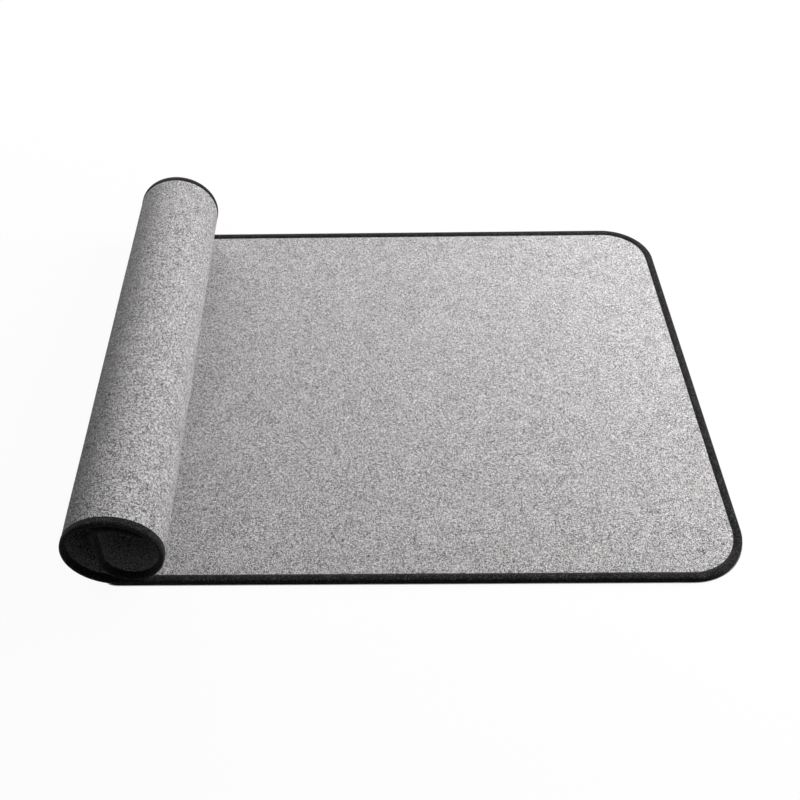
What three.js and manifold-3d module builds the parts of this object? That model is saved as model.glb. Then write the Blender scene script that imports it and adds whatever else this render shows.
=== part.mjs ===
// A calligraphy felt mat with a tape-bound edge, its left end rolled up on itself.
// Millimetres, +Z up. +X runs along the mat to its free right end, and the roll lies at -X.
// The mat rests on z = 0.
// A felt sheet bends everywhere, so the rolled stretch is cut across into strips that hinge on one another.
// Each strip holds its length of felt and of the tape on the near (-Y) and far (+Y) edge.
import * as THREE from 'three';
import { mergeVertices } from 'three/addons/utils/BufferGeometryUtils.js';
import Module from 'manifold-3d';

const wasm = await Module();
wasm.setup();

// The mat laid flat
const MAT_LENGTH = 1200;
const MAT_WIDTH = 600;
const CORNER_RADIUS = 64;
const FELT_THICKNESS = 5;

// The binding tape, folded over the edge
const TAPE_THICKNESS = 0.8;
const TAPE_LAP = 9.8; // tape on each face, measured in from the edge
const TAPE_PROUD = 1; // height of the tape above the felt's upper face
const TAPE_FOLD_RADIUS = 2.4; // rounding along the folded edge

// The roll, measured on the mat's underside, which is the roll's outside
const ROLL_RADIUS = 54;
const FOLD_RADIUS = 33; // where the second turn bends up off the flat
const TUCK_RADIUS = 16; // where the inner end bends over under the roll's top
const TUCK_TURN_DEG = 112; // how far the inner end then follows the inside of the roll
const LAYER_GAP = 1; // between the flat and the second turn that lies on it
const TUCK_GAP = 2.8; // between the inner end and the turn around it

// Strips in each stretch of the roll
const RING_STRIPS = 10;
const FOLD_STRIPS = 3;
const WALL_STRIPS = 1;
const TUCK_STRIPS = 2;
const TAIL_STRIPS = 3;

// Fits and fineness
const STRIP_GAP = 0.3; // between neighbouring strips
const SEWN_GAP = 0.25; // between the tape and the felt's faces
const EDGE_GAP = 0.5; // between the tape's fold and the felt's edge
const LAP_GAP = 0.3; // between the end of the lap and the felt's full thickness
const FACET_TURN = THREE.MathUtils.degToRad(8);
const CORNER_TURN = THREE.MathUtils.degToRad(6);
const FOLD_FACETS = 2;
const LEG_STEP = 6; // longest flat piece of a lap that lies along a bend

const felt = new THREE.MeshStandardMaterial({ color: 0xa9aaab, roughness: 0.95, metalness: 0 });
const tape = new THREE.MeshStandardMaterial({ color: 0x26262a, roughness: 0.85, metalness: 0 });

const matHeight = FELT_THICKNESS + TAPE_PROUD;
const halfWidth = MAT_WIDTH / 2;
const quarterTurn = Math.PI / 2;

// The roll's centre line: a ring, a fold, an upright wall, a tuck and a tail that follows the ring's inside
const layerRise = matHeight + LAYER_GAP;
const foldInset = ROLL_RADIUS - FOLD_RADIUS;
const foldStart = Math.asin(1 - layerRise / foldInset);
const tailRadius = ROLL_RADIUS - matHeight - TUCK_GAP;
const tuckReach = foldInset * Math.cos(foldStart) - FOLD_RADIUS + TUCK_RADIUS;
const tuckRise = Math.sqrt((tailRadius - TUCK_RADIUS) ** 2 - tuckReach ** 2);
const wallLength = ROLL_RADIUS + tuckRise - layerRise - FOLD_RADIUS;
const tuckTurn = quarterTurn + Math.atan2(tuckReach, tuckRise);
const tailTurn = THREE.MathUtils.degToRad(TUCK_TURN_DEG);

function arc(radius, turn, strips) {
  return { curvature: 1 / radius, length: radius * turn, strips };
}

const runs = [
  arc(ROLL_RADIUS, 3 * quarterTurn + foldStart, RING_STRIPS),
  arc(FOLD_RADIUS, 2 * quarterTurn - foldStart, FOLD_STRIPS),
  { curvature: 0, length: wallLength, strips: WALL_STRIPS },
  arc(TUCK_RADIUS, tuckTurn, TUCK_STRIPS),
  arc(tailRadius, tailTurn, TAIL_STRIPS),
];
const rolledLength = runs.reduce((sum, run) => sum + run.length, 0);
const flatLength = MAT_LENGTH - rolledLength;

// The origin is under the middle of the whole: the flat ends at +X, the ring's outside at -X
const rollX = (ROLL_RADIUS - flatLength) / 2;

// Where the underside is, and which way it heads, at a distance into the roll (negative on the flat)
function underside(along) {
  let x = rollX;
  let z = 0;
  let turn = 0;
  if (along <= 0) return { x: x - along, z, turn };
  let left = along;
  for (const run of runs) {
    const step = run === runs[runs.length - 1] ? left : Math.min(left, run.length);
    const bend = step * run.curvature;
    const chord = bend > 0 ? (2 * Math.sin(bend / 2)) / run.curvature : step;
    x -= chord * Math.cos(turn + bend / 2);
    z += chord * Math.sin(turn + bend / 2);
    turn += bend;
    left -= step;
    if (left <= 0) break;
  }
  return { x, z, turn };
}

// A point of the mat, from its place on the flat sheet and its height above the underside
function onMat(along, across, height) {
  const { x, z, turn } = underside(along);
  return new THREE.Vector3(x + height * Math.sin(turn), across, z + height * Math.cos(turn));
}

// Half the mat's width, less an inset from its edge, at a distance from the end that it is rounded to
function halfWidthAt(fromEnd, inset) {
  const intoCorner = Math.max(0, CORNER_RADIUS - fromEnd);
  const radius = CORNER_RADIUS - inset;
  return halfWidth - CORNER_RADIUS + Math.sqrt(Math.max(0, radius ** 2 - intoCorner ** 2));
}

// Evenly spaced stations, close enough to follow the bend between two places along the mat
function stations(from, to) {
  const bend = Math.abs(underside(to).turn - underside(from).turn);
  const count = Math.max(1, Math.ceil(bend / FACET_TURN));
  return Array.from({ length: count + 1 }, (_, i) => from + ((to - from) * i) / count);
}

// Distances from the rounded end, at even turns of its corner, from a given distance down to the inset edge
function cornerStations(fromEnd, inset) {
  const radius = CORNER_RADIUS - inset;
  const start = Math.asin(Math.min(1, Math.max(0, CORNER_RADIUS - fromEnd) / radius));
  const count = Math.ceil((quarterTurn - start) / CORNER_TURN);
  const angles = Array.from({ length: count + 1 }, (_, i) => start + ((quarterTurn - start) * i) / count);
  return angles.map((angle) => CORNER_RADIUS - radius * Math.sin(angle));
}

// A closed mesh with merged corners and its faces pointing out
function solid(geometry) {
  geometry.deleteAttribute('normal');
  geometry.deleteAttribute('uv');
  const merged = mergeVertices(geometry);
  const { array } = merged.attributes.position;
  const index = merged.index.array;
  const [a, b, c] = [new THREE.Vector3(), new THREE.Vector3(), new THREE.Vector3()];
  let volume = 0;
  for (let i = 0; i < index.length; i += 3) {
    a.fromArray(array, index[i] * 3);
    b.fromArray(array, index[i + 1] * 3);
    c.fromArray(array, index[i + 2] * 3);
    volume += a.dot(b.cross(c));
  }
  if (volume < 0) {
    for (let i = 0; i < index.length; i += 3) {
      [index[i], index[i + 1]] = [index[i + 1], index[i]];
    }
  }
  return merged;
}

// A section carried through numbered places: place(u, v, number) gives each corner's point
function sweep(section, count, place) {
  const shape = new THREE.Shape(section.map(([u, v]) => new THREE.Vector2(u, v)));
  const geometry = new THREE.ExtrudeGeometry(shape, { depth: count, steps: count, bevelEnabled: false });
  const corners = geometry.attributes.position;
  for (let i = 0; i < corners.count; i += 1) {
    const point = place(corners.getX(i), corners.getY(i), Math.round(corners.getZ(i)));
    corners.setXYZ(i, point.x, point.y, point.z);
  }
  return solid(geometry);
}

function joined(first, second) {
  const [left, right] = [first, second].map((geometry) => new wasm.Manifold(new wasm.Mesh({
    numProp: 3,
    vertProperties: Float32Array.from(geometry.attributes.position.array),
    triVerts: Uint32Array.from(geometry.index.array),
  })));
  const mesh = left.add(right).getMesh();
  const geometry = new THREE.BufferGeometry();
  geometry.setAttribute('position', new THREE.BufferAttribute(mesh.vertProperties, 3));
  geometry.setIndex(new THREE.BufferAttribute(mesh.triVerts, 1));
  return geometry;
}

// A layer of felt across the mat, between two heights, with its edge inset from the mat's
function feltLayer(places, endAt, inset, low, high) {
  const section = [[-1, low], [1, low], [1, high], [-1, high]];
  return sweep(section, places.length - 1, (side, height, number) => {
    const along = places[number];
    return onMat(along, side * halfWidthAt(Math.abs(endAt - along), inset), height);
  });
}

// The felt's full thickness inside the laps, and its rim, pressed thinner, inside the folded tape
const fieldInset = TAPE_LAP + LAP_GAP;
const rimInset = TAPE_THICKNESS + EDGE_GAP;
const rimLow = TAPE_THICKNESS + SEWN_GAP;
const rimHigh = matHeight - TAPE_THICKNESS - SEWN_GAP;

function feltPiece(placesFor, endAt) {
  const field = feltLayer(placesFor(fieldInset), endAt, fieldInset, 0, FELT_THICKNESS);
  const rim = feltLayer(placesFor(rimInset), endAt, rimInset, rimLow, rimHigh);
  return joined(field, rim);
}

// The folded tape, as distances in from the mat's edge and heights above its underside
function tapeSection(legPieces) {
  const inner = TAPE_LAP;
  const wall = TAPE_THICKNESS;
  const round = TAPE_FOLD_RADIUS;
  const leg = (from, to, height) => Array.from({ length: legPieces + 1 }, (_, i) => [
    from + ((to - from) * i) / legPieces, height,
  ]);
  const bend = (height, start) => Array.from({ length: FOLD_FACETS - 1 }, (_, i) => {
    const angle = start + (quarterTurn * (i + 1)) / FOLD_FACETS;
    return [round - round * Math.cos(angle), height + round * Math.sin(angle)];
  });
  return [
    ...leg(inner, round, 0),
    ...bend(round, -quarterTurn),
    [0, round],
    [0, matHeight - round],
    ...bend(matHeight - round, 0),
    ...leg(round, inner, matHeight),
    ...leg(inner, wall, matHeight - wall),
    ...leg(wall, inner, wall),
  ];
}

// Tape along one side of a strip: side is -1 for the near edge and 1 for the far one
function sideTape(places, side) {
  return sweep(tapeSection(1), places.length - 1, (inset, height, number) => {
    const along = places[number];
    return onMat(along, side * halfWidthAt(rolledLength - along, inset), height);
  });
}

// Tape round an end of the mat: along the near side, round both corners and back along the far side
function endTape(straight, endAt) {
  const inward = Math.sign(straight[0] - endAt);
  const fromEnd = Math.abs(straight[straight.length - 1] - endAt);
  const corner = cornerStations(fromEnd, 0).length - 1;
  const half = straight.length + corner;
  const section = tapeSection(Math.ceil(TAPE_LAP / LEG_STEP));
  return sweep(section, 2 * half - 1, (inset, height, number) => {
    const side = number < half ? -1 : 1;
    const step = number < half ? number : 2 * half - 1 - number;
    if (step < straight.length) {
      const along = straight[step];
      return onMat(along, side * halfWidthAt(Math.abs(along - endAt), inset), height);
    }
    const radius = CORNER_RADIUS - inset;
    const start = Math.asin(Math.min(1, Math.max(0, CORNER_RADIUS - fromEnd) / radius));
    const angle = start + ((quarterTurn - start) * (step - straight.length + 1)) / corner;
    const along = endAt + inward * (CORNER_RADIUS - radius * Math.sin(angle));
    return onMat(along, side * (halfWidth - CORNER_RADIUS + radius * Math.cos(angle)), height);
  });
}

// Where the strips hinge: half a ring strip stays with the flat, so that the strips lie level when unrolled
function stripCuts() {
  const ringStrip = runs[0].length / (RING_STRIPS + 0.5);
  const cuts = [ringStrip / 2];
  runs.forEach((run, number) => {
    const length = number === 0 ? ringStrip : run.length / run.strips;
    for (let i = 0; i < run.strips; i += 1) {
      cuts.push(cuts[cuts.length - 1] + length);
    }
  });
  return cuts;
}

const mat = new THREE.Group();

function addPiece(name, geometry, material) {
  const mesh = new THREE.Mesh(geometry, material);
  mesh.name = name;
  mat.add(mesh);
}

const cuts = stripCuts();
const lastStrip = cuts.length - 2;

// The flat, with the first rise of the roll, and the tape round its free end
const flatStart = cuts[0] - STRIP_GAP / 2;
const flatEnd = -flatLength;
const flatRise = [...stations(flatStart, 0), flatEnd + CORNER_RADIUS];
addPiece('flat_felt', feltPiece((inset) => [
  ...flatRise,
  ...cornerStations(CORNER_RADIUS, inset).slice(1).map((fromEnd) => flatEnd + fromEnd),
], flatEnd), felt);
addPiece('flat_tape', endTape(flatRise, flatEnd), tape);

// The rolled strips, from the flat inwards
for (let strip = 0; strip <= lastStrip; strip += 1) {
  const number = String(strip + 1).padStart(2, '0');
  const from = cuts[strip] + STRIP_GAP / 2;
  if (strip < lastStrip) {
    const places = stations(from, cuts[strip + 1] - STRIP_GAP / 2);
    addPiece(`roll_felt_${number}`, feltPiece(() => places, rolledLength), felt);
    addPiece(`near_tape_${number}`, sideTape(places, -1), tape);
    addPiece(`far_tape_${number}`, sideTape(places, 1), tape);
  } else {
    const fromEnd = rolledLength - from;
    const straight = fromEnd > CORNER_RADIUS ? stations(from, rolledLength - CORNER_RADIUS) : [from];
    addPiece(`roll_felt_${number}`, feltPiece((inset) => [
      ...straight,
      ...cornerStations(Math.min(fromEnd, CORNER_RADIUS), inset).slice(1).map((d) => rolledLength - d),
    ], rolledLength), felt);
    addPiece('end_tape', endTape(straight, rolledLength), tape);
  }
}

export default mat;
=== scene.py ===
# A calligraphy felt mat with a tape-bound edge, its left end rolled up on itself: the finished surfaces.
# Metres, +Z up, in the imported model's frame. +X runs along the mat to its free right end.
import math

import bpy
import numpy as np
from mathutils import Matrix, Vector


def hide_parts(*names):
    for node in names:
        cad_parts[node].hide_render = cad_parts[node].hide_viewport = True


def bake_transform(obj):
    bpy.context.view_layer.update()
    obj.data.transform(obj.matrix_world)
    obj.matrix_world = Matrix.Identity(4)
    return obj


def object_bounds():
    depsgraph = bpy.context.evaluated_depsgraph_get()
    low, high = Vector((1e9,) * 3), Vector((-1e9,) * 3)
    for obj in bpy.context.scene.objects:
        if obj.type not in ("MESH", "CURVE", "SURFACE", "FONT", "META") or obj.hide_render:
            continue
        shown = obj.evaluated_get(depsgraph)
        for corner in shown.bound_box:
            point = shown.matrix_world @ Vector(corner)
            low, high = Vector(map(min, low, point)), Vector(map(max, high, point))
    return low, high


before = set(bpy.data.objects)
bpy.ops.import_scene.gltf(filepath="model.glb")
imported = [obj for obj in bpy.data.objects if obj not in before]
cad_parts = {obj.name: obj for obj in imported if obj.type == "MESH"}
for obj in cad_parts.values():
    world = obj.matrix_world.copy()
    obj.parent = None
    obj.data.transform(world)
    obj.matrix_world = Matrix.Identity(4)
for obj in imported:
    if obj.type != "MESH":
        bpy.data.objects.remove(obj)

cad_low, cad_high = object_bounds()

QUARTER_TURN = math.pi / 2
MILLIMETRES = 1000.0  # in a metre
WHITE = (1, 1, 1, 1)

# The mat laid flat
MAT_LENGTH = 1.2
MAT_WIDTH = 0.6
CORNER_RADIUS = 0.064

# The folded tape: insets from the mat's edge, heights above its underside
MAT_HEIGHT = 0.006
TAPE_LAP = 0.0098
TAPE_THICKNESS = 0.0008
TAPE_CREST = 0.0046  # where the upper leg's swell is highest
TAPE_CROWN = 0.0005  # how far it stands above the flat mat's height
ELLIPSE = 2.0  # the squareness of an ellipse, which the swell's inner side follows
FOLD_SQUARENESS = 3.2  # of the swell's outer side
LOWER_NOSE = 0.004  # how far in the fold is round below
HEM_REACH = 0.0015  # how far from its inner edge the lower leg rises into the felt

# The felt inside it
FELT_LOW = 0.0004
FELT_HIGH = 0.005
FELT_INSET = 0.0065  # the felt's own edge, inside the fold
PRESS_ABOVE = 0.0005  # how far the seam presses the upper face in
PRESS_BELOW = 0.0003  # the same for the underside
PRESS_REACH = 0.006  # how far from the tape the felt recovers
TAPE_BITE = 0.0001  # how far the tape's inner edge sinks into the pressed felt
RIPPLE = 0.00012  # unevenness of the felt's faces
RIPPLE_ALONG = (0.031, 0.083)  # its waves along the mat, and how they swerve across it
RIPPLE_ACROSS = (0.027, 0.071)  # its waves across the mat, and how they swerve along it

# The seam
SEAM_INSET = 0.0083
SEAM_DIP = 0.00025
SEAM_WIDTH = 0.0008
STITCH_LENGTH = 0.0036
THREAD_RADIUS = 0.0002
THREAD_SINK = 0.0003  # depth of the thread's middle below the tape between stitches
THREAD_RISE = 0.00042  # how far it comes up from there along a stitch

# The roll, measured on the mat's underside, which is the roll's outside
ROLL_RADIUS = 0.054
FOLD_RADIUS = 0.033
TUCK_RADIUS = 0.016
TAIL_TURN = math.radians(112)
LAYER_GAP = 0.001
TUCK_GAP = 0.0028
STRIPS = (10, 3, 1, 2, 3)  # in the ring, fold, wall, tuck and tail

# Fineness of the meshes
BEND_STEP = 0.002
CORNER_STEP = 0.0025
FLAT_STEP = 0.01
SIDE_STEP = 0.01
BEND_LEAD = 0.03  # how far before the roll the flat's rows close up
BORDER_STEP = 0.00015  # a narrow first row, so that neighbouring pieces shade alike where they meet
BORDER_STEPS = [BORDER_STEP, BEND_STEP, BORDER_STEP]
MARGIN_INSETS = np.array([0, 0.002, 0.004, 0.0055, 0.008, 0.012, 0.018, 0.027])  # from the felt's edge
SLOPE_POINTS = 24  # across the tape's inner slope
BEND_POINTS = 14  # round each bend of the tape
LEG_POINTS = 14  # along its lower leg
THREAD_SIDES = 6
STITCH_STEPS = 8
ROUNDING = 1e-6

# The map of places that the materials start from, in metres
PLACE_MAP = "sheet"
UNDERSIDE_SHIFT = (2 * MAT_LENGTH, 0.0)  # keeps the felt's underside apart from its upper face

# Looks. Sizes are in millimetres. A noise is its size, detail and seed, and a fibre its length and width.
# A mix gives each layer's weight and the value of it that changes nothing.
NOISE_BAND = (0.3, 0.7)  # where most values of a noise lie

FELT_NOISES = {
    "speck": (1.15, 1, 40.0),
    "clump": (4.5, 1, 120.0),
    "mottle": (15.0, 2, 170.0),
    "patch": (60.0, 1, 310.0),
    "tint": (4.5, 2, 230.0),
}
WANDER_NOISE = (7.0, 1, 0.0)
WANDER = 6.0  # how far the fibres swerve
FIBRE_ANGLES = (0.2, 0.95, 1.6, 2.45)  # of the layers of fibres over one another
FIBRE_BAND = (0.5, 0.72)  # where a streak of noise comes to show as a fibre
LAYER_SEED = 7  # from one layer of fibres to the next
PALE_FIBRE = (3.2, 0.6)
PALE_SEED = 11.0
DARK_FIBRE = (3.0, 0.64)
DARK_SEED = 53.0
DARK_TURN = 0.4  # from the pale fibres of a layer to its dark ones
FINE_FIBRE = (2.5, 0.16)
FINE_SEED = 91.0
FINE_ANGLE = 0.6
FELT_MIX = {
    "pale": (1.6, 0.5),
    "dark": (-1.7, 0.5),
    "fine": (0.9, 0.5),
    "speck": (4.5, 0.5),
    "clump": (0.9, 0.5),
    "mottle": (0.6, 0.5),
    "patch": (0.1, 0.5),
}
FELT_LEVEL = 0.5  # of the even felt, in its greys
FELT_GREYS = [
    (0.0, (0.11, 0.107, 0.111)),
    (0.3, (0.31, 0.302, 0.31)),
    (0.5, (0.46, 0.449, 0.457)),
    (0.75, (0.64, 0.627, 0.633)),
    (1.0, (0.85, 0.834, 0.835)),
]
FELT_TINTS = [(0.3, (0.995, 0.985, 1.015)), (0.5, (1, 1, 1)), (0.7, (1.015, 1.01, 0.965))]
FELT_RELIEF = {"speck": (0.6, 0.5), "pale": (0.5, 0.5), "fine": (0.5, 0.5), "mottle": (0.8, 0.5)}
FELT_BUMP = {"Distance": 0.0007, "Strength": 0.7}
FELT_ROUGHNESS = (0.86, 0.98)
FELT_GLOSS = {"Sheen Weight": 0.08, "Sheen Roughness": 0.6, "Specular IOR Level": 0.05}
UNDERSIDE_CONTRAST = 1.05  # the felt's underside shows its fibres more
UNDERSIDE_FINENESS = 0.85  # and they are coarser there

TAPE_NOISES = {
    "jitter": (3.0, 1, 19.0),
    "slub": (1.5, 2, 37.0),
    "cloud": (14.0, 2, 71.0),
    "lint": (0.8, 1, 97.0),
}
WARP_PITCH = 1.1
WEFT_PITCH = 1.0
LINT_BAND = (0.62, 0.8)  # where the noise comes to show as lint
TAPE_MIX = {"weave": (0.16, 0.0), "slub": (2.3, 0.5), "cloud": (0.4, 0.5), "lint": (0.3, 0.0)}
TAPE_LEVEL = 0.42  # of the even tape, in its blacks
TAPE_BLACKS = [
    (0.0, (0.002, 0.002, 0.0023)),
    (0.35, (0.008, 0.008, 0.0084)),
    (0.6, (0.021, 0.021, 0.0217)),
    (1.0, (0.09, 0.09, 0.092)),
]
TAPE_RELIEF = {"weave": (0.5, 0.0), "slub": (0.7, 0.5)}
TAPE_BUMP = {"Distance": 0.00025, "Strength": 0.6}
TAPE_ROUGHNESS = (0.62, 0.85)
TAPE_GLOSS = {"Sheen Weight": 0.13, "Sheen Roughness": 0.5, "Specular IOR Level": 0.03}

THREAD_NOISES = {"fuzz": (0.7, 1, 13.0)}
TWIST_PITCH = 0.5
TWIST_SLANT = 5.0
THREAD_MIX = {"twist": (0.2, 0.0), "fuzz": (0.6, 0.5)}
THREAD_LEVEL = 0.5  # of the even thread, in its blacks
THREAD_BLACKS = [(0.0, (0.008, 0.008, 0.009)), (1.0, (0.05, 0.05, 0.052))]
THREAD_BUMP = {"Distance": 0.0001, "Strength": 0.5}
THREAD_ROUGHNESS = (0.5, 0.7)
THREAD_GLOSS = {"Specular IOR Level": 0.05}

# Floor and light
FLOOR_SIZE = 12.0
FLOOR_DROP = 0.0003
FLOOR_GREY = (0.05, 0.05, 0.05, 1)  # the floor as the mat sees it
SHADOW_SHARE = 0.05  # how much of the white floor's look is lit by the lamps and takes shadows
SHADOW_REACH = (0.7, 1.6)  # where the floor fades to plain white
CONTACT_REACH = 0.0026  # how close to the mat the floor's white goes dark, as a painted contact shadow
CONTACT_SHADE = (0.1, 0.28)  # from how much cover that starts, and where it is full
CONTACT_SAMPLES = 8
WORLD_LIGHT = 0.1
LAMPS = {  # place, aim, size and power of each soft lamp
    "side_lamp": (Vector((1.02, 0.35, 0.87)), Vector((0.05, 0.0, 0.0)), 1.0, 25.0),
    "back_lamp": (Vector((-0.71, 1.5, 0.8)), Vector((-0.25, 0.0, 0.0)), 0.7, 13.4),
}

# The camera, matched to the photograph's 800 x 800 frame
PHOTO_SIZE = 800
FOCAL_PIXELS = 1032.6
OPTICAL_AXIS = (347.4, 370.8)  # where the lens axis meets the photograph, in pixels
CAMERA_AT = Vector((-0.05031, -0.91418, 0.93159))
CAMERA_PITCH = math.radians(44.929)
CAMERA_YAW = math.radians(-1.129)
CAMERA_ROLL = math.radians(1.27)
SENSOR = 36.0


# The roll's path: a ring, a fold, an upright wall, a tuck and a tail that follows the ring's inside

def roll_runs():
    """Curvature and length of each stretch of the path."""
    layer_rise = MAT_HEIGHT + LAYER_GAP
    fold_inset = ROLL_RADIUS - FOLD_RADIUS
    fold_start = math.asin(1 - layer_rise / fold_inset)
    tail_radius = ROLL_RADIUS - MAT_HEIGHT - TUCK_GAP
    tuck_reach = fold_inset * math.cos(fold_start) - FOLD_RADIUS + TUCK_RADIUS
    tuck_rise = math.sqrt((tail_radius - TUCK_RADIUS) ** 2 - tuck_reach**2)
    tuck_turn = QUARTER_TURN + math.atan2(tuck_reach, tuck_rise)
    return [
        (1 / ROLL_RADIUS, ROLL_RADIUS * (3 * QUARTER_TURN + fold_start)),
        (1 / FOLD_RADIUS, FOLD_RADIUS * (2 * QUARTER_TURN - fold_start)),
        (0.0, ROLL_RADIUS + tuck_rise - layer_rise - FOLD_RADIUS),
        (1 / TUCK_RADIUS, TUCK_RADIUS * tuck_turn),
        (1 / tail_radius, tail_radius * TAIL_TURN),
    ]


RUNS = roll_runs()
ROLL_END = sum(length for _, length in RUNS)
FLAT_END = ROLL_END - MAT_LENGTH
ROLL_X = cad_high.x + FLAT_END


def underside(along):
    """x, z and heading of the mat's underside at distances into the roll, negative on the flat."""
    along = np.asarray(along, float)
    x = ROLL_X - np.minimum(along, 0)
    z = np.zeros_like(x)
    turn = np.zeros_like(x)
    left = np.maximum(along, 0)
    for curvature, length in RUNS:
        step = np.minimum(left, length)
        bend = step * curvature
        chord = step * np.sinc(bend / 2 / math.pi)
        x = x - chord * np.cos(turn + bend / 2)
        z = z + chord * np.sin(turn + bend / 2)
        turn = turn + bend
        left = left - step
    return x, z, turn


def on_mat(along, across, height):
    """Points in the frame, from places on the flat sheet and heights above its underside."""
    along, across, height = np.broadcast_arrays(along, across, height)
    x, z, turn = underside(along)
    return np.stack([x + height * np.sin(turn), across, z + height * np.cos(turn)], axis=-1)


def strip_middles():
    """Distances into the roll of the middle of each hinged strip."""
    cuts = [RUNS[0][1] / (2 * STRIPS[0] + 1)]
    for count, end in zip(STRIPS, np.cumsum([length for _, length in RUNS])):
        cuts.extend(np.linspace(cuts[-1], end, count + 1)[1:])
    return [(first + second) / 2 for first, second in zip(cuts, cuts[1:])]


MIDDLES = strip_middles()
LAST = len(MIDDLES)
BORDERS = [FLAT_END, *MIDDLES[:-1], ROLL_END]  # piece k runs from number k - 1 of these to number k


# The mat's edge on the flat sheet, followed along the seam: near side, free end, far side, rolled end

SIDE_LENGTH = MAT_LENGTH - 2 * CORNER_RADIUS
END_LENGTH = MAT_WIDTH - 2 * CORNER_RADIUS
CORNER_LENGTH = QUARTER_TURN * (CORNER_RADIUS - SEAM_INSET)
SEAM_LENGTH = 2 * (SIDE_LENGTH + END_LENGTH) + 4 * CORNER_LENGTH
FAR_START = SIDE_LENGTH + END_LENGTH + 2 * CORNER_LENGTH
PITCH = SEAM_LENGTH / round(SEAM_LENGTH / STITCH_LENGTH)  # so that the last stitch meets the first


def side_distance(along):
    """Distance along a side's seam from the free end's corner to a place, also inside the next corner."""
    seam_radius = CORNER_RADIUS - SEAM_INSET
    beyond = max(along - (ROLL_END - CORNER_RADIUS), 0)
    return along - beyond - FLAT_END - CORNER_RADIUS + seam_radius * math.asin(beyond / seam_radius)


def near_distance(along):
    """Distance along the seam of a place on the near side."""
    return SIDE_LENGTH - side_distance(along)


def far_distance(along):
    """Distance along the seam of a place on the far side."""
    return FAR_START + side_distance(along)


def edge(distance):
    """Places on the mat's edge, as (along, across), and ways in from it, at distances along the seam."""
    distance = np.asarray(distance, float) % SEAM_LENGTH
    place = np.zeros((len(distance), 2))
    inward = np.zeros((len(distance), 2))
    start = np.array([ROLL_END - CORNER_RADIUS, -MAT_WIDTH / 2])
    heading = np.array([-1.0, 0.0])
    passed = 0.0
    for length in (SIDE_LENGTH, END_LENGTH, SIDE_LENGTH, END_LENGTH):
        aside = np.array([heading[1], -heading[0]])
        here = (distance >= passed) & (distance <= passed + length + CORNER_LENGTH)
        run = (distance[here] - passed)[:, None]
        angle = np.maximum(run - length, 0) / CORNER_LENGTH * QUARTER_TURN
        inward[here] = aside * np.cos(angle) - heading * np.sin(angle)
        place[here] = start + heading * np.minimum(run, length) + CORNER_RADIUS * (aside - inward[here])
        start = start + heading * (length + CORNER_RADIUS) + aside * CORNER_RADIUS
        heading = aside
        passed += length + CORNER_LENGTH
    return place, inward


def edge_depth(along, across):
    """How far in from the mat's edge places on the flat sheet are."""
    out_along = np.abs(along - (FLAT_END + ROLL_END) / 2) - (MAT_LENGTH / 2 - CORNER_RADIUS)
    out_across = np.abs(across) - (MAT_WIDTH / 2 - CORNER_RADIUS)
    beyond = np.hypot(np.maximum(out_along, 0), np.maximum(out_across, 0))
    return CORNER_RADIUS - beyond - np.minimum(np.maximum(out_along, out_across), 0)


def half_width(along, inset):
    """Half the width of the mat's outline, moved in by an inset and narrower in the corners."""
    from_end = np.minimum(along - FLAT_END, ROLL_END - along)
    into_corner = np.maximum(CORNER_RADIUS - from_end, 0)
    reach = np.sqrt(np.maximum((CORNER_RADIUS - inset) ** 2 - into_corner**2, 0))
    return MAT_WIDTH / 2 - CORNER_RADIUS + reach


# Meshes

def divide(stops, steps):
    """Even divisions of the stretches between stops, none longer than its stretch's step."""
    places = [np.array(stops[:1])]
    for first, last, step in zip(stops, stops[1:], steps):
        count = max(1, math.ceil((last - first) / step - ROUNDING))
        places.append(np.linspace(first, last, count + 1)[1:])
    return np.concatenate(places)


def border_stops(first, last):
    """Stops for a piece that has a narrow row at both of its borders."""
    return [first, first + BORDER_STEP, last - BORDER_STEP, last]


def grid_faces(numbers):
    """Quads between neighbouring rows and columns of numbered points."""
    corners = [numbers[:-1, :-1], numbers[:-1, 1:], numbers[1:, 1:], numbers[1:, :-1]]
    return np.stack(corners, axis=-1).reshape(-1, 4).tolist()


def new_piece(name, points, faces, flat_from, places, material):
    """A mesh piece with a map of places on its cloth; faces from flat_from on are shaded flat."""
    mesh = bpy.data.meshes.new(name)
    mesh.from_pydata(points.reshape(-1, 3).tolist(), [], faces)
    mesh.polygons.foreach_set("use_smooth", np.arange(len(faces)) < flat_from)
    corner_points = np.zeros(len(mesh.loops), np.int32)
    mesh.loops.foreach_get("vertex_index", corner_points)
    corner_places = places.reshape(-1, 2)[corner_points].astype(np.float32)
    mesh.uv_layers.new(name=PLACE_MAP).data.foreach_set("uv", corner_places.ravel())
    mesh.materials.append(material)
    mesh.update()
    piece = bpy.data.objects.new(name, mesh)
    bpy.context.scene.collection.objects.link(piece)
    return piece


def bend_with(piece):
    """Bake a piece's placing into its mesh."""
    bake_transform(piece)


# The felt: a slab under the tape's edge, in pieces, one for each hinge

def felt_heights(along, across):
    """Heights of the felt's two faces, pressed in beside the tape."""
    beside = np.exp(-np.maximum(edge_depth(along, across) - TAPE_LAP, 0) / PRESS_REACH)
    wave_along, swerve_along = RIPPLE_ALONG
    wave_across, swerve_across = RIPPLE_ACROSS
    uneven = np.sin(along / wave_along + np.sin(across / swerve_along))
    uneven = uneven + np.sin(across / wave_across + np.sin(along / swerve_across))
    uneven = RIPPLE / 2 * uneven * (1 - beside)
    return FELT_LOW + PRESS_BELOW * beside + uneven, FELT_HIGH - PRESS_ABOVE * beside + uneven


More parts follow.
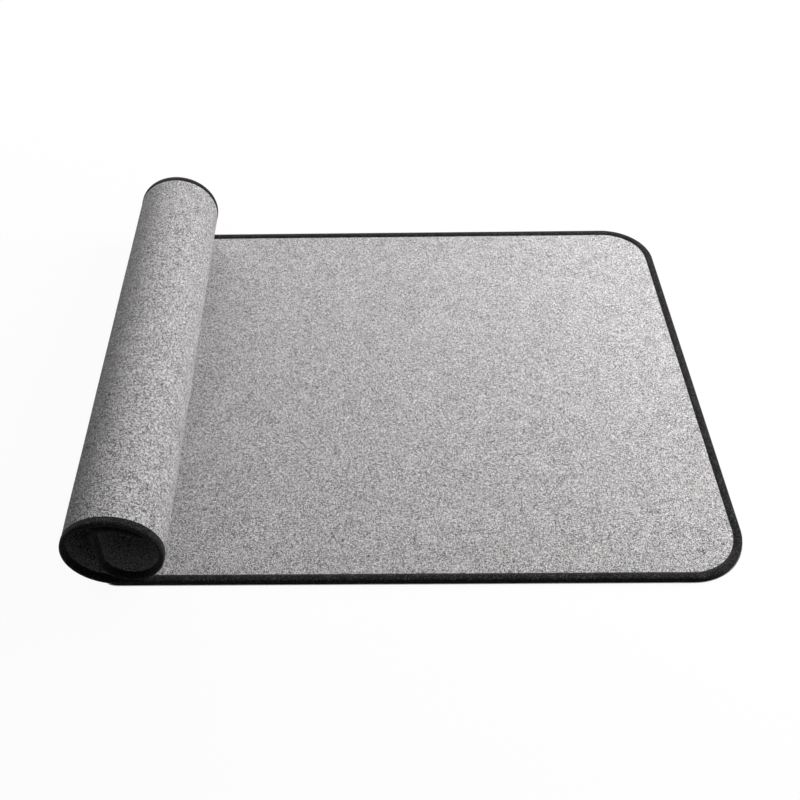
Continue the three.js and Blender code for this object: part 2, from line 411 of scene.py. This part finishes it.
def felt_rows(number):
    """Distances into the roll of the rows of one piece of felt."""
    first, last = BORDERS[number - 1], BORDERS[number]
    insets = FELT_INSET + MARGIN_INSETS
    inset_steps = [FLAT_STEP] * (len(insets) - 1)
    if number == 1:
        stops = [*(first + insets), first + CORNER_RADIUS, -BEND_LEAD, last - BORDER_STEP, last]
        return divide(stops, [*inset_steps, CORNER_STEP, FLAT_STEP, BEND_STEP, BORDER_STEP])
    if number == LAST:
        stops = [first, first + BORDER_STEP, *(last - insets[::-1])]
        return divide(stops, [BORDER_STEP, BEND_STEP, *inset_steps])
    return divide(border_stops(first, last), BORDER_STEPS)


def felt_piece(number, name):
    """One piece of felt, a closed slab."""
    rows = felt_rows(number)[:, None]
    edge_half = half_width(rows, FELT_INSET)
    margin = MARGIN_INSETS[:-1]
    share = np.linspace(-1, 1, 2 * math.ceil(MAT_WIDTH / 2 / SIDE_STEP) + 1)
    middle = (edge_half - MARGIN_INSETS[-1]) * share
    across = np.concatenate([margin - edge_half, middle, edge_half - margin[::-1]], axis=1)
    along = np.broadcast_to(rows, across.shape)
    heights = np.stack(felt_heights(along, across))
    points = on_mat(along, across, heights)
    numbers = np.arange(heights.size).reshape(heights.shape)
    faces = grid_faces(numbers[1]) + grid_faces(numbers[0][:, ::-1])
    shown = len(faces)
    faces += grid_faces(numbers[::-1, :, 0]) + grid_faces(numbers[:, :, -1])
    faces += grid_faces(numbers[:, 0]) + grid_faces(numbers[::-1, -1])
    upper_places = np.stack([along, across], axis=-1)
    places = np.stack([upper_places + UNDERSIDE_SHIFT, upper_places])
    piece = new_piece(name, points, faces, shown, places, felt)
    bend_with(piece)
    return piece


# The tape: one folded section, swept along the edge

def tape_faces(inset):
    """Heights of the folded tape's lower and upper outsides, which end just inside the felt."""
    inset = np.asarray(inset, float)
    half = MAT_HEIGHT / 2
    swell = half + TAPE_CROWN
    upper_end = FELT_HIGH - PRESS_ABOVE - TAPE_BITE - half
    inner_reach = (TAPE_LAP - TAPE_CREST) / math.sqrt(1 - (upper_end / swell) ** 2)
    outer = inset < TAPE_CREST
    from_crest = np.abs(inset - TAPE_CREST) / np.where(outer, TAPE_CREST, inner_reach)
    power = np.where(outer, FOLD_SQUARENESS, ELLIPSE)
    upper = half + swell * np.maximum(1 - from_crest**power, 0) ** (1 / power)
    into_nose = np.maximum(1 - inset / LOWER_NOSE, 0)
    into_hem = np.maximum(1 - (TAPE_LAP - inset) / HEM_REACH, 0)
    lower_end = FELT_LOW + PRESS_BELOW + TAPE_BITE
    lower = half * (1 - np.sqrt(1 - into_nose**2)) + lower_end * (1 - np.sqrt(1 - into_hem**2))
    dip = SEAM_DIP * np.exp(-(((inset - SEAM_INSET) / SEAM_WIDTH) ** 2))
    return lower + dip, upper - dip


def tape_section():
    """The folded tape's closed outline, as insets and heights, with the count of its outside points."""
    turn = 1 - np.sin(np.linspace(0, QUARTER_TURN, BEND_POINTS))
    slope = np.linspace(TAPE_LAP, TAPE_CREST, SLOPE_POINTS)
    leg = np.linspace(LOWER_NOSE, TAPE_LAP - HEM_REACH, LEG_POINTS)
    above = np.concatenate([slope, TAPE_CREST * turn[1:]])
    below = np.concatenate([LOWER_NOSE * turn[-2::-1], leg[1:], TAPE_LAP - HEM_REACH * turn[1:]])
    heights = np.concatenate([tape_faces(above)[1], tape_faces(below)[0]])
    inside_insets = [LOWER_NOSE, TAPE_THICKNESS, LOWER_NOSE]
    inside_heights = [TAPE_THICKNESS, MAT_HEIGHT / 2, MAT_HEIGHT - TAPE_THICKNESS]
    insets = np.concatenate([above, below, inside_insets])
    return insets, np.concatenate([heights, inside_heights]), len(heights)


def sweep(distances, insets, heights, first_number=0):
    """Points, their numbers, end faces and map places of a closed section swept along the mat's edge."""
    place, inward = edge(distances)
    insets, heights = np.broadcast_arrays(insets, heights)
    along = place[:, :1] + insets * inward[:, :1]
    across = place[:, 1:] + insets * inward[:, 1:]
    inset_steps = np.diff(insets[0], prepend=insets[0, 0])
    height_steps = np.diff(heights[0], prepend=heights[0, 0])
    girth = np.cumsum(np.hypot(inset_steps, height_steps))
    places = np.stack(np.broadcast_arrays(distances[:, None], girth), axis=-1)
    numbers = first_number + np.arange(insets.size).reshape(insets.shape)
    ends = [numbers[0, ::-1].tolist(), numbers[-1].tolist()]
    return on_mat(along, across, heights), numbers, ends, places


def tape_piece(name, distances):
    """One length of tape, closed at its ends."""
    insets, heights, outside = tape_section()
    rows = np.ones((len(distances), 1))
    points, numbers, ends, places = sweep(distances, rows * insets, rows * heights)
    faces = grid_faces(numbers[:, :outside])
    shown = len(faces)
    faces += grid_faces(np.concatenate([numbers[:, outside - 1:], numbers[:, :1]], axis=1)) + ends
    piece = new_piece(name, points, faces, shown, places, tape)
    bend_with(piece)
    return piece


def bed_tape_stops():
    """Distances round the free end, from the roll's near side to its far side, and their steps."""
    first, last = near_distance(MIDDLES[0]), far_distance(MIDDLES[0])
    near_corner, far_corner = SIDE_LENGTH + CORNER_LENGTH, FAR_START - CORNER_LENGTH
    stops = [first, first + BORDER_STEP, near_distance(-BEND_LEAD), SIDE_LENGTH, near_corner]
    stops += [far_corner, FAR_START, far_distance(-BEND_LEAD), last - BORDER_STEP, last]
    steps = [BORDER_STEP, BEND_STEP, FLAT_STEP, CORNER_STEP, FLAT_STEP]
    return stops, [*steps, CORNER_STEP, FLAT_STEP, BEND_STEP, BORDER_STEP]


def end_tape_stops():
    """Distances round the rolled end, from its far side to its near side, and their steps."""
    first, last = far_distance(MIDDLES[-2]), SEAM_LENGTH + near_distance(MIDDLES[-2])
    end_start, end_stop = FAR_START + SIDE_LENGTH + CORNER_LENGTH, SEAM_LENGTH - CORNER_LENGTH
    stops = [first, first + BORDER_STEP, end_start, end_stop, last - BORDER_STEP, last]
    return stops, [BORDER_STEP, BEND_STEP, FLAT_STEP, BEND_STEP, BORDER_STEP]


def side_spans(number):
    """Stretches of the seam, as distances, that one piece of the mat holds."""
    if number == 1:
        return [(near_distance(MIDDLES[0]), far_distance(MIDDLES[0]))]
    first, last = BORDERS[number - 1], BORDERS[number]
    if number == LAST:
        return [(far_distance(first), SEAM_LENGTH + near_distance(first))]
    return [(near_distance(last), near_distance(first)), (far_distance(first), far_distance(last))]


# The seam: a needle thread above and a bobbin thread below, which dip through the same holes

def seam_piece(number, name):
    """Both threads of one piece of the mat."""
    angle = np.arange(THREAD_SIDES) / THREAD_SIDES * 4 * QUARTER_TURN
    lower, upper = tape_faces(SEAM_INSET)
    step = PITCH / STITCH_STEPS
    points, faces, ends, places = [], [], [], []
    count = 0
    for first, last in side_spans(number):
        between = step * np.arange(math.floor(first / step) + 1, math.ceil(last / step))
        distances = np.concatenate([[first], between, [last]])
        rise = THREAD_RISE * np.sqrt(np.abs(np.sin(math.pi * distances / PITCH))) - THREAD_SINK
        for middle in (upper + rise, lower - rise):
            insets = SEAM_INSET + THREAD_RADIUS * np.cos(angle)
            heights = middle[:, None] + THREAD_RADIUS * np.sin(angle)
            tube, numbers, tube_ends, tube_places = sweep(distances, insets, heights, count)
            faces += grid_faces(np.concatenate([numbers, numbers[:, :1]], axis=1))
            ends += tube_ends
            points.append(tube.reshape(-1, 3))
            places.append(tube_places.reshape(-1, 2))
            count += numbers.size
    shown = len(faces)
    piece = new_piece(name, np.concatenate(points), faces + ends, shown, np.concatenate(places), thread)
    bend_with(piece)
    return piece


# Materials

class Shading:
    """Makes and links the nodes of one material or world."""

    def __init__(self, owner):
        owner.use_nodes = True
        self.tree = owner.node_tree
        self.tree.nodes.clear()

    def node(self, kind, inputs=None, **settings):
        """A node whose inputs are linked to other nodes' outputs or set to values."""
        node = self.tree.nodes.new(kind)
        for name, value in settings.items():
            setattr(node, name, value)
        for socket, value in (inputs or {}).items():
            if isinstance(value, bpy.types.NodeSocket):
                self.tree.links.new(value, node.inputs[socket])
            else:
                node.inputs[socket].default_value = value
        return node

    def vector(self, operation, *values):
        inputs = dict(enumerate(values))
        return self.node("ShaderNodeVectorMath", inputs, operation=operation).outputs[0]

    def math(self, operation, *values):
        inputs = dict(enumerate(values))
        return self.node("ShaderNodeMath", inputs, operation=operation).outputs[0]

    def largest(self, first, *others):
        for other in others:
            first = self.math("MAXIMUM", first, other)
        return first

    def total(self, layers, mix):
        """The sum of the layers in a mix, each counted from the value that changes nothing."""
        result = 0.0
        for name, (weight, neutral) in mix.items():
            change = self.math("SUBTRACT", layers[name], neutral)
            result = self.math("MULTIPLY_ADD", change, weight, result)
        return result

    def places(self):
        """Places on the piece's cloth, in millimetres."""
        metres = self.node("ShaderNodeUVMap", uv_map=PLACE_MAP).outputs["UV"]
        return self.vector("MULTIPLY", metres, (MILLIMETRES, MILLIMETRES, MILLIMETRES))

    def split(self, places):
        """The first two coordinates of places."""
        return self.node("ShaderNodeSeparateXYZ", {0: places}).outputs[:2]

    def noise(self, places, size, detail, seed, output="Fac"):
        """Cloudy noise with features about size across."""
        moved = self.vector("ADD", places, (seed, seed, seed))
        inputs = {"Vector": moved, "Scale": 1 / size, "Detail": detail}
        return self.node("ShaderNodeTexNoise", inputs).outputs[output]

    def noises(self, places, settings):
        return {name: self.noise(places, *values) for name, values in settings.items()}

    def streaks(self, places, angle, length, width, seed):
        """Noise drawn out along one direction."""
        inputs = {0: places, 1: (0, 0, seed), 2: (0, 0, angle), 3: (length, width, 1)}
        drawn = self.node("ShaderNodeMapping", inputs, vector_type="TEXTURE").outputs[0]
        inputs = {"Vector": drawn, "Scale": 1, "Detail": 1}
        return self.node("ShaderNodeTexNoise", inputs).outputs["Fac"]

    def fibres(self, places, turn, size, seed):
        """Layers of fibres that lie every way, each layer turned a little."""
        layers = []
        for layer, angle in enumerate(FIBRE_ANGLES):
            layers.append(self.streaks(places, angle + turn, *size, seed + LAYER_SEED * layer))
        return self.remap(self.largest(*layers), *FIBRE_BAND)

    def wave(self, value, pitch, phase):
        return self.math("SINE", self.math("MULTIPLY_ADD", value, math.tau / pitch, phase))

    def remap(self, value, low, high, to_low=0.0, to_high=1.0):
        """A value's place between low and high, moved to between to_low and to_high."""
        inputs = {0: value, 1: low, 2: high, 3: to_low, 4: to_high}
        return self.node("ShaderNodeMapRange", inputs).outputs[0]

    def ramp(self, value, stops):
        """A colour from a value, by stops of (value, colour)."""
        node = self.node("ShaderNodeValToRGB", {"Fac": value})
        elements = node.color_ramp.elements
        while len(elements) < len(stops):
            elements.new(1.0)
        for element, (position, colour) in zip(elements, stops):
            element.position = position
            element.color = (*colour, 1)
        return node.outputs["Color"]

    def multiply(self, first, second):
        """The product of two colours."""
        inputs = {0: 1.0, 6: first, 7: second}
        return self.node("ShaderNodeMix", inputs, data_type="RGBA", blend_type="MULTIPLY").outputs[2]

    def blend(self, share, first, second):
        """A mix of two shaders, with a share of the second."""
        return self.node("ShaderNodeMixShader", {0: share, 1: first, 2: second}).outputs[0]

    def finish(self, colour, roughness, height, bump, gloss):
        """The surface of a material, with its bump's settings and its gloss's constants."""
        normal = self.node("ShaderNodeBump", {"Height": height, **bump}).outputs["Normal"]
        inputs = {"Base Color": colour, "Roughness": roughness, "Normal": normal, **gloss}
        surface = self.node("ShaderNodeBsdfPrincipled", inputs).outputs["BSDF"]
        self.node("ShaderNodeOutputMaterial", {"Surface": surface})


def felt_material():
    """Heathered needle felt: pale and dark fibres that lie every way, on a mottled grey."""
    material = bpy.data.materials.new("grey_needle_felt")
    shade = Shading(material)
    sheet = shade.places()
    along, _ = shade.split(sheet)
    below = shade.math("GREATER_THAN", along, MAT_LENGTH * MILLIMETRES)
    fineness = shade.remap(below, 0.0, 1.0, 1.0, UNDERSIDE_FINENESS)
    inputs = {0: sheet, "Scale": fineness}
    places = shade.node("ShaderNodeVectorMath", inputs, operation="SCALE").outputs[0]
    layers = shade.noises(places, FELT_NOISES)
    swerve = shade.noise(places, *WANDER_NOISE, output="Color")
    swerve = shade.vector("SUBTRACT", swerve, (0.5, 0.5, 0.5))
    swerved = shade.vector("MULTIPLY_ADD", swerve, (WANDER, WANDER, 0.0), places)
    layers["pale"] = shade.fibres(swerved, 0.0, PALE_FIBRE, PALE_SEED)
    layers["dark"] = shade.fibres(swerved, DARK_TURN, DARK_FIBRE, DARK_SEED)
    layers["fine"] = shade.streaks(swerved, FINE_ANGLE, *FINE_FIBRE, FINE_SEED)
    contrast = shade.remap(below, 0.0, 1.0, 1.0, UNDERSIDE_CONTRAST)
    value = shade.math("MULTIPLY_ADD", shade.total(layers, FELT_MIX), contrast, FELT_LEVEL)
    colour = shade.multiply(shade.ramp(value, FELT_GREYS), shade.ramp(layers["tint"], FELT_TINTS))
    roughness = shade.remap(layers["speck"], *NOISE_BAND, *FELT_ROUGHNESS)
    shade.finish(colour, roughness, shade.total(layers, FELT_RELIEF), FELT_BUMP, FELT_GLOSS)
    return material


def tape_material():
    """Plain-woven black tape: yarns over and under, a little slubby, lighter on the weave's high spots.
    """
    material = bpy.data.materials.new("black_binding_tape")
    shade = Shading(material)
    places = shade.places()
    along, across = shade.split(places)
    layers = shade.noises(places, TAPE_NOISES)
    layers["lint"] = shade.remap(layers["lint"], *LINT_BAND)
    warp = shade.wave(along, WARP_PITCH, layers["jitter"])
    weft = shade.wave(across, WEFT_PITCH, layers["jitter"])
    layers["weave"] = shade.math("MULTIPLY", warp, weft)
    value = shade.math("ADD", shade.total(layers, TAPE_MIX), TAPE_LEVEL)
    colour = shade.ramp(value, TAPE_BLACKS)
    roughness = shade.remap(layers["slub"], *NOISE_BAND, *TAPE_ROUGHNESS)
    shade.finish(colour, roughness, shade.total(layers, TAPE_RELIEF), TAPE_BUMP, TAPE_GLOSS)
    return material


def thread_material():
    """Black sewing thread with its twist."""
    material = bpy.data.materials.new("black_thread")
    shade = Shading(material)
    places = shade.places()
    along, around = shade.split(places)
    layers = shade.noises(places, THREAD_NOISES)
    slant = shade.math("MULTIPLY", around, TWIST_SLANT)
    layers["twist"] = shade.wave(along, TWIST_PITCH, slant)
    value = shade.math("ADD", shade.total(layers, THREAD_MIX), THREAD_LEVEL)
    colour = shade.ramp(value, THREAD_BLACKS)
    roughness = shade.remap(layers["fuzz"], *NOISE_BAND, *THREAD_ROUGHNESS)
    shade.finish(colour, roughness, layers["twist"], THREAD_BUMP, THREAD_GLOSS)
    return material


felt = felt_material()
tape = tape_material()
thread = thread_material()


# The mat's pieces, one set for each hinge

for number in range(1, LAST + 1):
    where = "bed" if number == 1 else f"roll_{number:02d}"
    felt_part = felt_piece(number, f"felt_{where}")
    seam_part = seam_piece(number, f"seam_{where}")
    if number == 1:
        edges = [tape_piece("tape_bed", divide(*bed_tape_stops()))]
        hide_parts("flat_felt", "roll_felt_01")
        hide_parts("flat_tape", "near_tape_01", "far_tape_01")
    elif number == LAST:
        edges = [tape_piece("tape_end", divide(*end_tape_stops()))]
        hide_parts(f"roll_felt_{number:02d}")
        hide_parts("end_tape")
    else:
        edges = []
        for side, span in zip(("near", "far"), side_spans(number)):
            distances = divide(border_stops(*span), BORDER_STEPS)
            edges.append(tape_piece(f"tape_{side}_{number:02d}", distances))
            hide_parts(f"{side}_tape_{number:02d}")
        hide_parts(f"roll_felt_{number:02d}")


# Floor, light and camera

def seen_directly(shade):
    """1 for camera rays, mirror images and see-through, which show the white background, and else 0."""
    path = shade.node("ShaderNodeLightPath").outputs
    return shade.largest(path["Is Camera Ray"], path["Is Glossy Ray"], path["Is Transmission Ray"])


def floor_material():
    """White where it is seen directly, apart from faint shadows and a painted contact shadow, a dark line
    under the mat.
    """
    material = bpy.data.materials.new("pale_floor")
    shade = Shading(material)
    position = shade.node("ShaderNodeNewGeometry").outputs["Position"]
    away = shade.node("ShaderNodeVectorMath", {0: position}, operation="LENGTH").outputs["Value"]
    white_share = shade.remap(away, *SHADOW_REACH, 1 - SHADOW_SHARE, 1.0)
    inputs = {"Distance": CONTACT_REACH}
    openness = shade.node("ShaderNodeAmbientOcclusion", inputs, samples=CONTACT_SAMPLES).outputs["AO"]
    # painted contact shadow: the floor's white glow dims where the mat covers the floor close by
    clear = shade.remap(shade.math("SUBTRACT", 1.0, openness), *CONTACT_SHADE, 1.0, 0.0)
    white = shade.node("ShaderNodeEmission", {"Color": WHITE, "Strength": clear}).outputs[0]
    lit_white = shade.node("ShaderNodeBsdfDiffuse", {"Color": WHITE}).outputs[0]
    lit_grey = shade.node("ShaderNodeBsdfDiffuse", {"Color": FLOOR_GREY}).outputs[0]
    looks = shade.blend(white_share, lit_white, white)
    surface = shade.blend(seen_directly(shade), lit_grey, looks)
    shade.node("ShaderNodeOutputMaterial", {"Surface": surface})
    return material


def add_floor():
    half = FLOOR_SIZE / 2
    outline = ((-half, -half), (half, -half), (half, half), (-half, half))
    mesh = bpy.data.meshes.new("floor")
    mesh.from_pydata([(x, y, -FLOOR_DROP) for x, y in outline], [], [(0, 1, 2, 3)])
    mesh.materials.append(floor_material())
    floor = bpy.data.objects.new("floor", mesh)
    bpy.context.scene.collection.objects.link(floor)


def add_world():
    """A white background that lights the mat only a little."""
    world = bpy.data.worlds.new("soft_light")
    shade = Shading(world)
    strength = shade.remap(seen_directly(shade), 0.0, 1.0, WORLD_LIGHT, 1.0)
    background = shade.node("ShaderNodeBackground", {"Color": WHITE, "Strength": strength}).outputs[0]
    shade.node("ShaderNodeOutputWorld", {"Surface": background})
    bpy.context.scene.world = world


def add_lamp(name, place, aim, size, power):
    light = bpy.data.lights.new(name, "AREA")
    light.size = size
    light.energy = power
    lamp = bpy.data.objects.new(name, light)
    lamp.location = place
    lamp.rotation_euler = (aim - place).to_track_quat("-Z", "Y").to_euler()
    bpy.context.scene.collection.objects.link(lamp)


def add_camera():
    """The photograph's camera, from its pitch, yaw and roll and the place of its optical axis."""
    ahead = Vector((math.sin(CAMERA_YAW), math.cos(CAMERA_YAW), 0))
    level = Vector((math.cos(CAMERA_YAW), -math.sin(CAMERA_YAW), 0))
    up = Vector((0, 0, 1))
    forward = math.cos(CAMERA_PITCH) * ahead - math.sin(CAMERA_PITCH) * up
    down = -math.sin(CAMERA_PITCH) * ahead - math.cos(CAMERA_PITCH) * up
    right = math.cos(CAMERA_ROLL) * level + math.sin(CAMERA_ROLL) * down
    down = math.cos(CAMERA_ROLL) * down - math.sin(CAMERA_ROLL) * level
    lens = bpy.data.cameras.new("camera")
    lens.sensor_width = SENSOR
    lens.lens = FOCAL_PIXELS / PHOTO_SIZE * SENSOR
    lens.shift_x = 0.5 - OPTICAL_AXIS[0] / PHOTO_SIZE
    lens.shift_y = OPTICAL_AXIS[1] / PHOTO_SIZE - 0.5
    camera = bpy.data.objects.new("camera", lens)
    turn = Matrix((right, -down, -forward)).transposed()
    camera.matrix_world = Matrix.Translation(CAMERA_AT) @ turn.to_4x4()
    bpy.context.scene.collection.objects.link(camera)
    bpy.context.scene.camera = camera


add_floor()
add_world()
for lamp_name, settings in LAMPS.items():
    add_lamp(lamp_name, *settings)
add_camera()
bpy.context.scene.view_settings.view_transform = "Standard"
